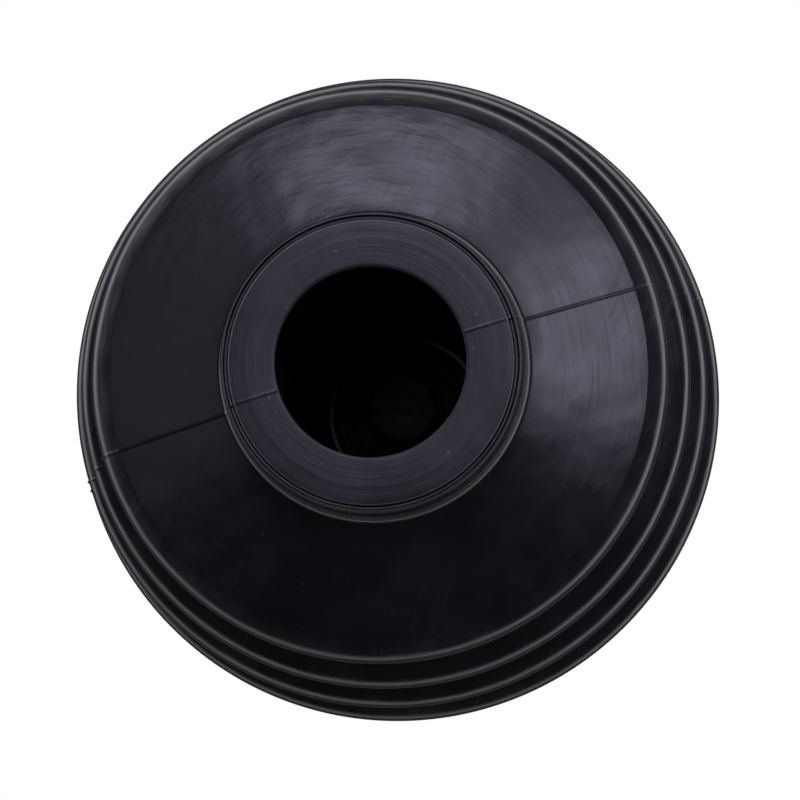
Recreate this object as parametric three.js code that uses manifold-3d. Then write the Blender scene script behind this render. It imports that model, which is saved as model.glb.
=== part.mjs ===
// A short-handled bellows sink plunger, in millimetres, +Z up.
// The origin is the centre of the mouth's sealing face. Every piece shares the +Z axis.
//
// From the mouth up: one moulded bellows, a bolt stack that clamps its crown between an
// inner plate and the handle socket, and a tube handle with a rubber grip and an end cap.
import * as THREE from 'three';
import { mergeVertices } from 'three/addons/utils/BufferGeometryUtils.js';
import Module from 'manifold-3d';

const wasm = await Module();
wasm.setup();

// ---- Driving dimensions ----------------------------------------------------------------

const CLEARANCE = 0.3; // between pieces that touch

// Bellows moulding
const MOUTH_BORE_R = 15.1;
const MOUTH_FACE_R = 23.1;
const COLLAR_R = 24.7;
const COLLAR_HEIGHT = 7.8;
const FLANGE_THICKNESS = 2.4;
const SHOULDER_R = 44.2;
const SHOULDER_Z = 12.6;
const CREST_RADII = [47.4, 52.2, 56.4, 60, 58.8]; // at each crest's lower edge
const FIRST_CREST_Z = 14.4;
const CREST_PITCH = 13.6;
const CREST_HEIGHT = 4.5;
const CREST_FLARE = 0.2; // share of the step to the next crest
const CREST_ROUND = 1;
const VALLEY_DEPTH = 9.5;
const VALLEY_ROUND = 0.6;
const WALL = 2.3;
const FACE_STEP = 0.6;
const COLLAR_FILLET = 1.2;
const CROWN_BEND_R = 47;
const CROWN_BEND_Z = 83.5;
const CROWN_TOP_R = 25;
const CROWN_TOP_Z = 91;
const NECK_R = 19;
const NECK_BASE_Z = 94.5;
const NECK_TOP_Z = 102;
const NECK_ROOF = 4;

// Bolt stack under the crown
const BOLT_R = 4;
const BOLT_LENGTH = 30;
const HEX_ACROSS_FLATS = 13;
const BOLT_HEAD_HEIGHT = 5.3;
const NUT_HEIGHT = 6.5;
const PLATE_R = 15;
const PLATE_THICKNESS = 2.5;
const SEAL_R = 11;
const SEAL_THICKNESS = 2;
const WASHER_R = 8;
const WASHER_THICKNESS = 1.6;
const SPRING_R = 7;
const SPRING_THICKNESS = 2.1;
const SPRING_SLIT = THREE.MathUtils.degToRad(8);

// Handle
const TUBE_R = 12.5;
const TUBE_WALL = 1.5;
const TUBE_TOP_Z = 220;
const SOCKET_SKIRT_Z = 95.3;
const SOCKET_FLANGE_R = 24.5;
const SOCKET_FLANGE_HEIGHT = 4;
const SOCKET_SLEEVE_R = 16.4;
const SOCKET_TOP_Z = 139;
const SOCKET_WEB = 5;
const SOCKET_BOSS_HEIGHT = 16;
const SOCKET_RIBS = 8;
const SOCKET_RIB_WIDTH = 2.4;
const SOCKET_RIB_HEIGHT = 14; // above the socket's floor
const NUT_SINK = 2; // into the socket's web
const PIN_R = 2;
const PIN_Z = 131;
const GRIP_BASE_Z = 143;
const GRIP_GUARD_R = 20;
const GRIP_GUARD_HEIGHT = 5;
const GRIP_GUARD_GAP = 4;
const GRIP_R = 17;
const GRIP_RINGS = 8;
const GRIP_RING_DEPTH = 1.4;
const GRIP_RING_SHARES = [0.15, 0.35, 0.8, 1]; // of the pitch: groove, ring, ring, groove
const CAP_R = 17.6;
const CAP_HEIGHT = 24;
const CAP_SPIGOT = 22;
const CAP_SKIRT_SHARE = 1 / 3; // of the height, below the dome
const HANG_HOLE_R = 4.5;
const HANG_HOLE_RISE = 12;

// Edges
const BEVEL = 0.8;
const GUARD_BEVEL = 1.5;

// Facets round the axis
const BELLOWS_SEGMENTS = 36;
const HANDLE_SEGMENTS = 28;
const SMALL_SEGMENTS = 24;
const HOLE_SEGMENTS = 16;

// ---- Finishes --------------------------------------------------------------------------

const finish = (color, roughness, metalness) =>
  new THREE.MeshStandardMaterial({ color, roughness, metalness });

const FINISHES = {
  blackRubber: finish(0x15151b, 0.5, 0),
  sealRubber: finish(0x1c1c1c, 0.8, 0),
  nylon: finish(0x1b1b1e, 0.45, 0),
  zincSteel: finish(0x8d9095, 0.35, 1),
  blackSteel: finish(0x232326, 0.4, 1),
  aluminium: finish(0xb9bcc1, 0.3, 1),
  gripRubber: finish(0x222226, 0.75, 0),
};

// ---- Geometry helpers ------------------------------------------------------------------

// A solid of revolution about +Z. The profile lists [radius, z] anticlockwise, with the
// outside going up. It is closed here unless it starts and ends on the axis.
function revolve(profile, segments) {
  const points = profile.map(([radius, z]) => new THREE.Vector2(radius, z));
  const onAxis = profile[0][0] === 0 && profile.at(-1)[0] === 0;
  if (!onAxis) points.push(points[0].clone());
  return new THREE.LatheGeometry(points, segments).rotateX(Math.PI / 2);
}

// A flat ring between two radii.
function ring(innerR, outerR, bottomZ, height, segments = SMALL_SEGMENTS) {
  const topZ = bottomZ + height;
  const profile = [[innerR, bottomZ], [outerR, bottomZ], [outerR, topZ], [innerR, topZ]];
  return revolve(profile, segments);
}

// A round rod along +Z, or a hexagonal one with six sides.
function rod(radius, bottomZ, height, segments) {
  const geometry = new THREE.CylinderGeometry(radius, radius, height, segments);
  return geometry.rotateX(Math.PI / 2).translate(0, 0, bottomZ + height / 2);
}

// Points of a circular arc in the profile plane, both ends included.
function arc(centreR, centreZ, radius, fromDegrees, toDegrees, steps) {
  return Array.from({ length: steps + 1 }, (_, i) => {
    const degrees = THREE.MathUtils.lerp(fromDegrees, toDegrees, i / steps);
    const angle = THREE.MathUtils.degToRad(degrees);
    return [centreR + radius * Math.cos(angle), centreZ + radius * Math.sin(angle)];
  });
}

// The radius of the circle round a hexagon of that width across its flats.
const hexRadius = (acrossFlats) => acrossFlats / Math.sqrt(3);

// The geometry as a solid that can be cut and joined.
function solid(geometry) {
  const bare = geometry.clone();
  bare.deleteAttribute('normal');
  bare.deleteAttribute('uv');
  const merged = mergeVertices(bare);
  const corners = Array.from(merged.index.array);
  const triangles = [];
  for (let i = 0; i < corners.length; i += 3) {
    const triangle = corners.slice(i, i + 3);
    if (new Set(triangle).size === 3) triangles.push(...triangle);
  }
  const mesh = new wasm.Mesh({
    numProp: 3,
    vertProperties: new Float32Array(merged.attributes.position.array),
    triVerts: new Uint32Array(triangles),
  });
  return new wasm.Manifold(mesh);
}

// The solid as a geometry again.
function geometryOf(manifold) {
  const { vertProperties, triVerts } = manifold.getMesh();
  const geometry = new THREE.BufferGeometry();
  geometry.setAttribute('position', new THREE.BufferAttribute(vertProperties, 3));
  geometry.setIndex(new THREE.BufferAttribute(triVerts, 1));
  geometry.computeVertexNormals();
  return geometry;
}

const plunger = new THREE.Group();
plunger.name = 'sink_plunger';

function addPiece(name, geometry, material) {
  const mesh = new THREE.Mesh(geometry, material);
  mesh.name = name;
  plunger.add(mesh);
}

// ---- Bellows ---------------------------------------------------------------------------

// One entry for each fold: its crest's lower and upper edge, and the valley above it.
const FOLDS = CREST_RADII.map((lowerR, i) => {
  const nextR = CREST_RADII[i + 1] ?? lowerR;
  const lowerZ = FIRST_CREST_Z + CREST_PITCH * i;
  const upperR = THREE.MathUtils.lerp(lowerR, nextR, CREST_FLARE);
  const upperZ = lowerZ + CREST_HEIGHT;
  const valleyR = (lowerR + nextR) / 2 - VALLEY_DEPTH;
  const valleyZ = (upperZ + lowerZ + CREST_PITCH) / 2;
  return { lowerR, lowerZ, upperR, upperZ, valleyR, valleyZ };
});
const LAST_FOLD = FOLDS.at(-1);

// The folded wall's outside, going up, with each edge blunted.
function foldsOutside() {
  return FOLDS.flatMap((fold) => {
    const crest = [
      [fold.lowerR - CREST_ROUND, fold.lowerZ - CREST_ROUND / 2],
      [fold.lowerR, fold.lowerZ + CREST_ROUND / 2],
      [fold.upperR, fold.upperZ - CREST_ROUND / 2],
      [fold.upperR - CREST_ROUND, fold.upperZ + CREST_ROUND / 2],
    ];
    const valley = [
      [fold.valleyR, fold.valleyZ - VALLEY_ROUND],
      [fold.valleyR, fold.valleyZ + VALLEY_ROUND],
    ];
    return fold === LAST_FOLD ? crest : [...crest, ...valley];
  });
}

// The folded wall's inside, going down.
function foldsInside() {
  const crestInset = 1.3 * WALL;
  const gap = CREST_HEIGHT / 2 - VALLEY_ROUND;
  const halfValley = VALLEY_ROUND + WALL / 3;
  return FOLDS.toReversed().flatMap((fold) => {
    const valley = [
      [fold.valleyR - WALL, fold.valleyZ + halfValley],
      [fold.valleyR - WALL, fold.valleyZ - halfValley],
    ];
    const crest = [
      [fold.upperR - crestInset, fold.upperZ - gap],
      [fold.lowerR - crestInset, fold.lowerZ + gap],
    ];
    return fold === LAST_FOLD ? crest : [...valley, ...crest];
  });
}

function bellowsGeometry() {
  const boltHoleR = BOLT_R + CLEARANCE;
  const neckInnerR = NECK_R - WALL;
  const roofZ = NECK_TOP_Z - NECK_ROOF;
  const collarInnerR = COLLAR_R - WALL;

  const mouth = [
    [MOUTH_BORE_R, FACE_STEP],
    [MOUTH_BORE_R + FACE_STEP, 0],
    [MOUTH_FACE_R, 0],
    [MOUTH_FACE_R + FACE_STEP, FACE_STEP],
    [COLLAR_R - FACE_STEP, 1.5 * FACE_STEP],
    [COLLAR_R, COLLAR_HEIGHT],
    [COLLAR_R + COLLAR_FILLET, COLLAR_HEIGHT + COLLAR_FILLET],
    [SHOULDER_R, SHOULDER_Z],
  ];
  const crown = [
    [CROWN_BEND_R, CROWN_BEND_Z],
    [CROWN_TOP_R, CROWN_TOP_Z],
    [NECK_R, NECK_BASE_Z],
    [NECK_R, NECK_TOP_Z - 1],
    [NECK_R - 1, NECK_TOP_Z],
  ];
  const crownInside = [
    [boltHoleR, NECK_TOP_Z],
    [boltHoleR, roofZ],
    [neckInnerR, roofZ],
    [neckInnerR, NECK_BASE_Z - WALL],
    [CROWN_TOP_R - WALL / 2, CROWN_TOP_Z - WALL],
    [CROWN_BEND_R - WALL / 2, CROWN_BEND_Z - WALL],
  ];
  const mouthInside = [
    [COLLAR_R, COLLAR_HEIGHT + 1.3 * WALL],
    [collarInnerR, COLLAR_HEIGHT],
    [collarInnerR, FLANGE_THICKNESS],
    [MOUTH_BORE_R + FACE_STEP, FLANGE_THICKNESS],
    [MOUTH_BORE_R, FLANGE_THICKNESS - FACE_STEP],
  ];
  const outside = [...mouth, ...foldsOutside(), ...crown];
  const inside = [...crownInside, ...foldsInside(), ...mouthInside];
  return revolve([...outside, ...inside], BELLOWS_SEGMENTS);
}

addPiece('bellows', bellowsGeometry(), FINISHES.blackRubber);

// ---- Bolt stack inside the crown, hung from the neck's roof downwards ------------------

const STACK_HOLE_R = BOLT_R + CLEARANCE;
const plateZ = NECK_TOP_Z - NECK_ROOF - CLEARANCE - PLATE_THICKNESS;
const sealZ = plateZ - CLEARANCE - SEAL_THICKNESS;
const washerZ = sealZ - CLEARANCE - WASHER_THICKNESS;
const springZ = washerZ - CLEARANCE - SPRING_THICKNESS;
const boltHeadTopZ = springZ - CLEARANCE;

function springWasherGeometry() {
  const outline = new THREE.Shape();
  const from = SPRING_SLIT / 2;
  const to = 2 * Math.PI - from;
  outline.absarc(0, 0, SPRING_R, from, to, false);
  outline.absarc(0, 0, STACK_HOLE_R, to, from, true);
  const options = { depth: SPRING_THICKNESS, bevelEnabled: false, curveSegments: SMALL_SEGMENTS / 2 };
  return new THREE.ExtrudeGeometry(outline, options).translate(0, 0, springZ);
}

function boltGeometry() {
  const headZ = boltHeadTopZ - BOLT_HEAD_HEIGHT;
  const head = solid(rod(hexRadius(HEX_ACROSS_FLATS), headZ, BOLT_HEAD_HEIGHT, 6));
  const shankLength = BOLT_LENGTH + BOLT_HEAD_HEIGHT / 2;
  const shank = solid(rod(BOLT_R, boltHeadTopZ + BOLT_LENGTH - shankLength, shankLength, SMALL_SEGMENTS));
  return geometryOf(head.add(shank));
}

const plate = ring(STACK_HOLE_R, PLATE_R, plateZ, PLATE_THICKNESS, HANDLE_SEGMENTS);
addPiece('backing_plate', plate, FINISHES.blackSteel);
addPiece('sealing_washer', ring(STACK_HOLE_R, SEAL_R, sealZ, SEAL_THICKNESS), FINISHES.sealRubber);
addPiece('flat_washer', ring(STACK_HOLE_R, WASHER_R, washerZ, WASHER_THICKNESS), FINISHES.blackSteel);
addPiece('spring_washer', springWasherGeometry(), FINISHES.blackSteel);
addPiece('retaining_bolt', boltGeometry(), FINISHES.blackSteel);

// ---- Handle socket, with the nut that the bolt draws against its web -------------------

const socketWebZ = NECK_TOP_Z + CLEARANCE;
const socketFloorZ = socketWebZ + SOCKET_WEB;
const tubeBottomZ = socketFloorZ + CLEARANCE;
const tubeInnerR = TUBE_R - TUBE_WALL;
const nutZ = socketFloorZ - NUT_SINK;

function socketBody() {
  const skirtInnerR = NECK_R + 2 * CLEARANCE;
  const skirtZ = SOCKET_SKIRT_Z;
  const flangeTopZ = skirtZ + SOCKET_FLANGE_HEIGHT;
  const filletR = SOCKET_SLEEVE_R + 2 * BEVEL;
  const bossR = tubeInnerR - CLEARANCE;
  const bossTopZ = socketFloorZ + SOCKET_BOSS_HEIGHT;
  return revolve([
    [STACK_HOLE_R, socketWebZ],
    [skirtInnerR, socketWebZ],
    [skirtInnerR, skirtZ],
    [SOCKET_FLANGE_R - BEVEL, skirtZ],
    [SOCKET_FLANGE_R, skirtZ + BEVEL],
    [SOCKET_FLANGE_R, flangeTopZ],
    [SOCKET_FLANGE_R - 2 * BEVEL, flangeTopZ + 2 * BEVEL],
    [filletR, socketFloorZ - BEVEL],
    [SOCKET_SLEEVE_R, socketFloorZ + 3 * BEVEL],
    [SOCKET_SLEEVE_R, SOCKET_TOP_Z - BEVEL],
    [SOCKET_SLEEVE_R - BEVEL, SOCKET_TOP_Z],
    [TUBE_R + CLEARANCE, SOCKET_TOP_Z],
    [TUBE_R + CLEARANCE, socketFloorZ],
    [bossR, socketFloorZ],
    [bossR, bossTopZ],
    [STACK_HOLE_R, bossTopZ],
  ], HANDLE_SEGMENTS);
}

// A gusset between the flange and the sleeve, in the XZ plane.
function socketRib(index) {
  const outline = new THREE.Shape();
  const rootR = SOCKET_SLEEVE_R - 1;
  const tipR = SOCKET_FLANGE_R - 2 * BEVEL;
  const tipZ = SOCKET_SKIRT_Z + SOCKET_FLANGE_HEIGHT + 2 * BEVEL;
  outline.moveTo(rootR, socketWebZ + 1);
  outline.lineTo(NECK_R + 3, socketWebZ);
  outline.lineTo(tipR, tipZ);
  outline.lineTo(rootR, socketFloorZ + SOCKET_RIB_HEIGHT);
  const options = { depth: SOCKET_RIB_WIDTH, bevelEnabled: false };
  const geometry = new THREE.ExtrudeGeometry(outline, options);
  geometry.translate(0, 0, -SOCKET_RIB_WIDTH / 2).rotateX(Math.PI / 2);
  return geometry.rotateZ((2 * Math.PI * (index + 0.5)) / SOCKET_RIBS);
}

// The cross hole of the pin, through the socket's sleeve and the tube.
function pinHole() {
  const length = 4 * SOCKET_SLEEVE_R;
  const geometry = new THREE.CylinderGeometry(PIN_R + CLEARANCE, PIN_R + CLEARANCE, length, HOLE_SEGMENTS);
  return solid(geometry.rotateZ(Math.PI / 2).translate(0, 0, PIN_Z));
}

function socketGeometry() {
  let socket = solid(socketBody());
  for (let i = 0; i < SOCKET_RIBS; i += 1) socket = socket.add(solid(socketRib(i)));
  const pocketR = hexRadius(HEX_ACROSS_FLATS) + CLEARANCE;
  const pocket = solid(rod(pocketR, nutZ - CLEARANCE, SOCKET_BOSS_HEIGHT + NUT_HEIGHT, 6));
  return geometryOf(socket.subtract(pocket).subtract(pinHole()));
}

function nutGeometry() {
  const body = solid(rod(hexRadius(HEX_ACROSS_FLATS), nutZ, NUT_HEIGHT, 6));
  const bore = solid(rod(STACK_HOLE_R, nutZ - 1, NUT_HEIGHT + 2, SMALL_SEGMENTS));
  return geometryOf(body.subtract(bore));
}

addPiece('handle_socket', socketGeometry(), FINISHES.nylon);
addPiece('captive_nut', nutGeometry(), FINISHES.zincSteel);

// ---- Tube, pin, grip and cap -----------------------------------------------------------

function tubeGeometry() {
  const tube = ring(tubeInnerR, TUBE_R, tubeBottomZ, TUBE_TOP_Z - tubeBottomZ, HANDLE_SEGMENTS);
  return geometryOf(solid(tube).subtract(pinHole()));
}

function pinGeometry() {
  const length = 2 * (SOCKET_SLEEVE_R - 2 * CLEARANCE);
  const geometry = new THREE.CylinderGeometry(PIN_R, PIN_R, length, HOLE_SEGMENTS);
  return geometry.rotateZ(Math.PI / 2).translate(0, 0, PIN_Z);
}

// The grip's ringed barrel, above a guard that stops the hand.
function gripGeometry() {
  const innerR = TUBE_R + CLEARANCE;
  const grooveR = GRIP_R - GRIP_RING_DEPTH;
  const guardTopZ = GRIP_BASE_Z + GRIP_GUARD_HEIGHT;
  const barrelZ = guardTopZ + GRIP_GUARD_GAP;
  const ringPitch = (TUBE_TOP_Z - 2 - barrelZ) / GRIP_RINGS;
  const rings = [];
  for (let i = 0; i < GRIP_RINGS; i += 1) {
    const heights = GRIP_RING_SHARES.map((share) => barrelZ + (i + share) * ringPitch);
    rings.push([grooveR, heights[0]], [GRIP_R, heights[1]]);
    rings.push([GRIP_R, heights[2]], [grooveR, heights[3]]);
  }
  return revolve([
    [innerR, GRIP_BASE_Z],
    [GRIP_GUARD_R - GUARD_BEVEL, GRIP_BASE_Z],
    [GRIP_GUARD_R, GRIP_BASE_Z + GUARD_BEVEL],
    [GRIP_GUARD_R, guardTopZ - GUARD_BEVEL],
    [GRIP_GUARD_R - GUARD_BEVEL, guardTopZ],
    ...rings,
    [GRIP_R, TUBE_TOP_Z - 1],
    [GRIP_R, TUBE_TOP_Z],
    [innerR, TUBE_TOP_Z],
  ], HANDLE_SEGMENTS);
}

// A domed cap with a spigot inside the tube and a cross hole to hang the tool by.
function capGeometry() {
  const baseZ = TUBE_TOP_Z + CLEARANCE;
  const spigotR = tubeInnerR - CLEARANCE;
  const domeZ = baseZ + CAP_HEIGHT * CAP_SKIRT_SHARE;
  const domeRise = CAP_HEIGHT * (1 - CAP_SKIRT_SHARE);
  const dome = arc(0, 0, 1, 0, 90, 6).map(([across, up]) => [CAP_R * across, domeZ + domeRise * up]);
  dome.at(-1)[0] = 0;
  const body = solid(revolve([
    [0, baseZ - CAP_SPIGOT],
    [spigotR - 1, baseZ - CAP_SPIGOT],
    [spigotR, baseZ - CAP_SPIGOT + 1],
    [spigotR, baseZ],
    [CAP_R - BEVEL, baseZ],
    [CAP_R, baseZ + BEVEL],
    ...dome,
  ], HANDLE_SEGMENTS));
  const hole = new THREE.CylinderGeometry(HANG_HOLE_R, HANG_HOLE_R, 4 * CAP_R, HOLE_SEGMENTS);
  return geometryOf(body.subtract(solid(hole.translate(0, 0, baseZ + HANG_HOLE_RISE))));
}

addPiece('shaft_tube', tubeGeometry(), FINISHES.aluminium);
addPiece('socket_pin', pinGeometry(), FINISHES.zincSteel);
addPiece('hand_grip', gripGeometry(), FINISHES.gripRubber);
addPiece('end_cap', capGeometry(), FINISHES.nylon);

export default plunger;
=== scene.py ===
"""The looks of a bellows sink plunger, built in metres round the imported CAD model.

The tool stands on its mouth at the origin, +Z up. Outlines are written in millimetres and
scaled by MM when their meshes are made. The camera looks up at the mouth from below.
"""
import math

import bpy
import numpy as np
from mathutils import Matrix, Vector


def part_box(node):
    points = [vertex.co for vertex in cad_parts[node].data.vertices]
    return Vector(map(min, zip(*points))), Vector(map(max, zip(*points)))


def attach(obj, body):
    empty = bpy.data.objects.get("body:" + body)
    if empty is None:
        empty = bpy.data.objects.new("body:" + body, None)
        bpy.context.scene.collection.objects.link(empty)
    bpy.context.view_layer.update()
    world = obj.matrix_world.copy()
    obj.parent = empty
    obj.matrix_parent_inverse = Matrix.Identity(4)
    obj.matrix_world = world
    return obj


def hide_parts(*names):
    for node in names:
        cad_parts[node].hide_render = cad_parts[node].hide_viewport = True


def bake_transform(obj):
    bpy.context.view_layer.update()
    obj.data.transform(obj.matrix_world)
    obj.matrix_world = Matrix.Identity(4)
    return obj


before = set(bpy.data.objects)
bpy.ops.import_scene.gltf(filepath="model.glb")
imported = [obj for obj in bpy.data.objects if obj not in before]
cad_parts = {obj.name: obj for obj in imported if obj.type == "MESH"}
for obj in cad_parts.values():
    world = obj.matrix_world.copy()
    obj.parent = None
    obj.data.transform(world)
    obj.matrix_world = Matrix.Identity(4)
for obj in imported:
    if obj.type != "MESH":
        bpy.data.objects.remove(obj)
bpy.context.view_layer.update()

# Outlines and meshes are in millimetres. Shaders, the camera, the lamps and the floor are
# in metres.
MM = 0.001               # metres in a millimetre
CLEARANCE = 0.3          # round a part that is pushed into another
ON_SURFACE = 0.05        # how near to a radius a point counts as being on it
SHARP_EDGE = math.radians(38)
ARC_STEP = math.radians(12)
NEARLY_STRAIGHT = math.radians(1)
LONGEST_REACH = 0.49     # the share of a side that the arc at one end may take
M8_RADIUS = 4.0
M8_PITCH = 1.25
M8_ACROSS_FLATS = 13.0
M8_BLANK_R = 7.55        # just outside the corners of the hexagon
BOLT_HOLE_R = M8_RADIUS + CLEARANCE
PIN_R = 2.0
PIN_Z = 131.0
DRILL_LENGTH = 80.0      # long enough to pass through the whole tool


# ---- Outlines ---------------------------------------------------------------------------

def corner_arc(before, here, after, fillet):
    """The arc that rounds a corner, or the corner alone where it is nearly straight."""
    to_last = before - here
    to_next = after - here
    last_length = np.linalg.norm(to_last)
    next_length = np.linalg.norm(to_next)
    to_last /= last_length
    to_next /= next_length
    half = math.acos(max(-1.0, min(1.0, float(to_last @ to_next)))) / 2
    if math.pi / 2 - half < NEARLY_STRAIGHT:
        return [here]
    reach = min(fillet / math.tan(half), LONGEST_REACH * last_length, LONGEST_REACH * next_length)
    radius = reach * math.tan(half)
    middle = to_last + to_next
    centre = here + middle / np.linalg.norm(middle) * radius / math.sin(half)
    start = here + to_last * reach - centre
    end = here + to_next * reach - centre
    turn = math.pi - 2 * half
    steps = max(2, math.ceil(turn / ARC_STEP))
    if start[0] * end[1] - start[1] * end[0] < 0:
        turn = -turn
    arc = []
    for k in range(steps + 1):
        c, s = math.cos(turn * k / steps), math.sin(turn * k / steps)
        arc.append(centre + np.array([start[0] * c - start[1] * s, start[0] * s + start[1] * c]))
    return arc


def rounded(corners, closed=True):
    """The outline through corners (radius, z, fillet), in millimetres, with an arc at each.

    A closed outline runs round and ends where it began. An open one keeps its two ends.
    """
    places = [np.array(corner[:2], float) for corner in corners]
    count = len(corners)
    points = []
    for i, (_, _, fillet) in enumerate(corners):
        if fillet == 0 or (not closed and i in (0, count - 1)):
            points.append(places[i])
        else:
            points += corner_arc(places[i - 1], places[i], places[(i + 1) % count], fillet)
    return points


def refined(points, longest, closed=True):
    """The outline with its long straight stretches cut into equal steps."""
    made = []
    count = len(points)
    last = count if closed else count - 1
    for i in range(last):
        a, b = points[i], points[(i + 1) % count]
        steps = max(1, math.ceil(np.linalg.norm(b - a) / longest))
        made.extend(a + (b - a) * k / steps for k in range(steps))
    if not closed:
        made.append(points[-1])
    return made


# ---- Meshes -----------------------------------------------------------------------------

def even_angles(count):
    return [2 * math.pi * i / count for i in range(count)]


def mesh_object(name, vertices, faces):
    mesh = bpy.data.meshes.new(name)
    mesh.from_pydata(vertices, [], faces)
    mesh.validate()
    mesh.polygons.foreach_set("use_smooth", [True] * len(mesh.polygons))
    mesh.set_sharp_from_angle(angle=SHARP_EDGE)
    obj = bpy.data.objects.new(name, mesh)
    bpy.context.scene.collection.objects.link(obj)
    return obj


def revolve(name, outline, angles, shape=None, closed=True):
    """A body of revolution about +Z from an outline in millimetres that goes anticlockwise.

    An open outline starts and ends on the axis. shape(points, angle) may move the points at
    one angle, for what isn't round.
    """
    base = np.array(outline)
    if not closed:
        base, poles = base[1:-1], (base[0], base[-1])
    rings = []
    for angle in angles:
        points = base if shape is None else shape(base.copy(), angle)
        across = points[:, 0]
        rings.append(np.column_stack((across * math.cos(angle), across * math.sin(angle), points[:, 1])))
    vertices = np.concatenate(rings)
    size, count = len(base), len(angles)
    faces = []
    for i in range(count):
        here, there = i * size, ((i + 1) % count) * size
        for k in range(size if closed else size - 1):
            after = (k + 1) % size
            faces.append((here + k, there + k, there + after, here + after))
        if not closed:
            bottom, top = count * size, count * size + 1
            faces.append((bottom, there, here))
            faces.append((top, here + size - 1, there + size - 1))
    if not closed:
        vertices = np.vstack((vertices, [(0, 0, pole[1]) for pole in poles]))
    return mesh_object(name, (vertices * MM).tolist(), faces)


def applied(obj):
    """The object with its modifiers made part of its mesh."""
    shaped = obj.evaluated_get(bpy.context.evaluated_depsgraph_get())
    obj.data = bpy.data.meshes.new_from_object(shaped)
    obj.modifiers.clear()
    return obj


def cut(obj, tool):
    """The object with the tool's volume cut away. The tool is used up."""
    modifier = obj.modifiers.new("cut", "BOOLEAN")
    modifier.operation = "DIFFERENCE"
    modifier.solver = "EXACT"
    modifier.object = tool
    applied(obj)
    bpy.data.objects.remove(tool)
    return obj


def softened(obj, voxel, passes):
    """The object remeshed to a fine skin whose edges are all slightly rounded."""
    remesh = obj.modifiers.new("remesh", "REMESH")
    remesh.mode = "VOXEL"
    remesh.voxel_size = voxel * MM
    remesh.use_smooth_shade = True
    smooth = obj.modifiers.new("smooth", "SMOOTH")
    smooth.factor = 0.5
    smooth.iterations = passes
    return applied(obj)


def rod(name, radius, length, chamfer, axis, centre, segments=48):
    """A chamfered rod along the world axis X or Y."""
    half = length / 2
    outline = [(0, -half, 0), (radius - chamfer, -half, 0), (radius, -half + chamfer, 0),
               (radius, half - chamfer, 0), (radius - chamfer, half, 0), (0, half, 0)]
    made = revolve(name, rounded(outline, closed=False), even_angles(segments), closed=False)
    turn = Matrix.Rotation(math.pi / 2, 4, "Y" if axis == "X" else "X")
    made.data.transform(Matrix.Translation(Vector(centre) * MM) @ turn)
    return made


def extent(node):
    """A round CAD node's lowest and highest z and its outer radius, in millimetres."""
    low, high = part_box(node)
    return low.z / MM, high.z / MM, high.x / MM


# ---- What isn't round -------------------------------------------------------------------

def hexagon(across_flats):
    """Presses the points into a hexagon with two flats across X."""
    def shape(points, angle):
        flat = across_flats / 2 / math.cos(math.remainder(angle, math.pi / 3))
        points[:, 0] = np.minimum(points[:, 0], flat)
        return points
    return shape


def threaded(radius, pitch, depth, low, high):
    """Cuts a thread into the points at that radius, between two heights.

    It goes inwards by depth, or outwards where depth is below 0, with narrow flats between
    the turns.
    """
    def shape(points, angle):
        z = points[:, 1]
        on_shank = (abs(points[:, 0] - radius) < ON_SURFACE) & (z > low) & (z < high)
        turn = (z / pitch - angle / (2 * math.pi)) % 1.0
        groove = depth * np.clip(1.25 * (1 - abs(2 * turn - 1)) - 0.12, 0, 1)
        points[:, 0] -= np.where(on_shank, groove, 0.0)
        return points
    return shape


def both(first, second):
    return lambda points, angle: second(first(points, angle), angle)


def outward_normals(outline):
    """Unit normals of a closed anticlockwise outline."""
    points = np.array(outline)
    along = np.roll(points, -1, 0) - np.roll(points, 1, 0)
    normals = np.column_stack((along[:, 1], -along[:, 0]))
    return normals / np.linalg.norm(normals, axis=1)[:, None]


def parting_ridge(outline, heights, half_width):
    """The fine ridge that a two-part mould leaves along X, with its height at each point."""
    normals = outward_normals(outline)

    def shape(points, angle):
        aside = points[:, 0] * abs(math.sin(angle))
        rise = heights(points, angle) * np.clip(1 - aside / half_width, 0, 1)
        return points + normals * rise[:, None]
    return shape


def ridge_angles(count, fine=(0.14, 0.29, 0.45, 0.65, 0.9, 1.2)):
    """Even angles, with finer ones on both sides of the parting line."""
    near = [sign * math.radians(offset) for offset in fine for sign in (-1, 1)]
    extra = [(middle + offset) % (2 * math.pi) for middle in (0, math.pi) for offset in near]
    return sorted(even_angles(count) + extra)


# ---- Bellows ----------------------------------------------------------------------------

CRESTS = (
    # lower radius, lower z, upper radius, upper z
    (47.6, 14.4, 48.0, 18.9),
    (52.35, 27.8, 52.6, 32.3),
    (56.5, 41.6, 56.4, 46.1),
    (59.8, 57.0, 59.4, 60.4),
    (58.7, 69.0, 58.3, 73.3),
)
VALLEY_DEPTH = 9.5       # from the mean radius of the crests on both sides
WALL = 2.3
LOWER_FILLET = 2.8
UPPER_FILLET = 1.1
VALLEY_FILLET = 1.6
INNER_CREST_INSET = 1.3 * WALL
INNER_CREST_GAP = 1.65   # from the crest's edges, up or down
INNER_CREST_FILLET = 0.5
INNER_VALLEY_HALF_HEIGHT = 1.2
INNER_VALLEY_FILLET = 1.0

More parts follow.
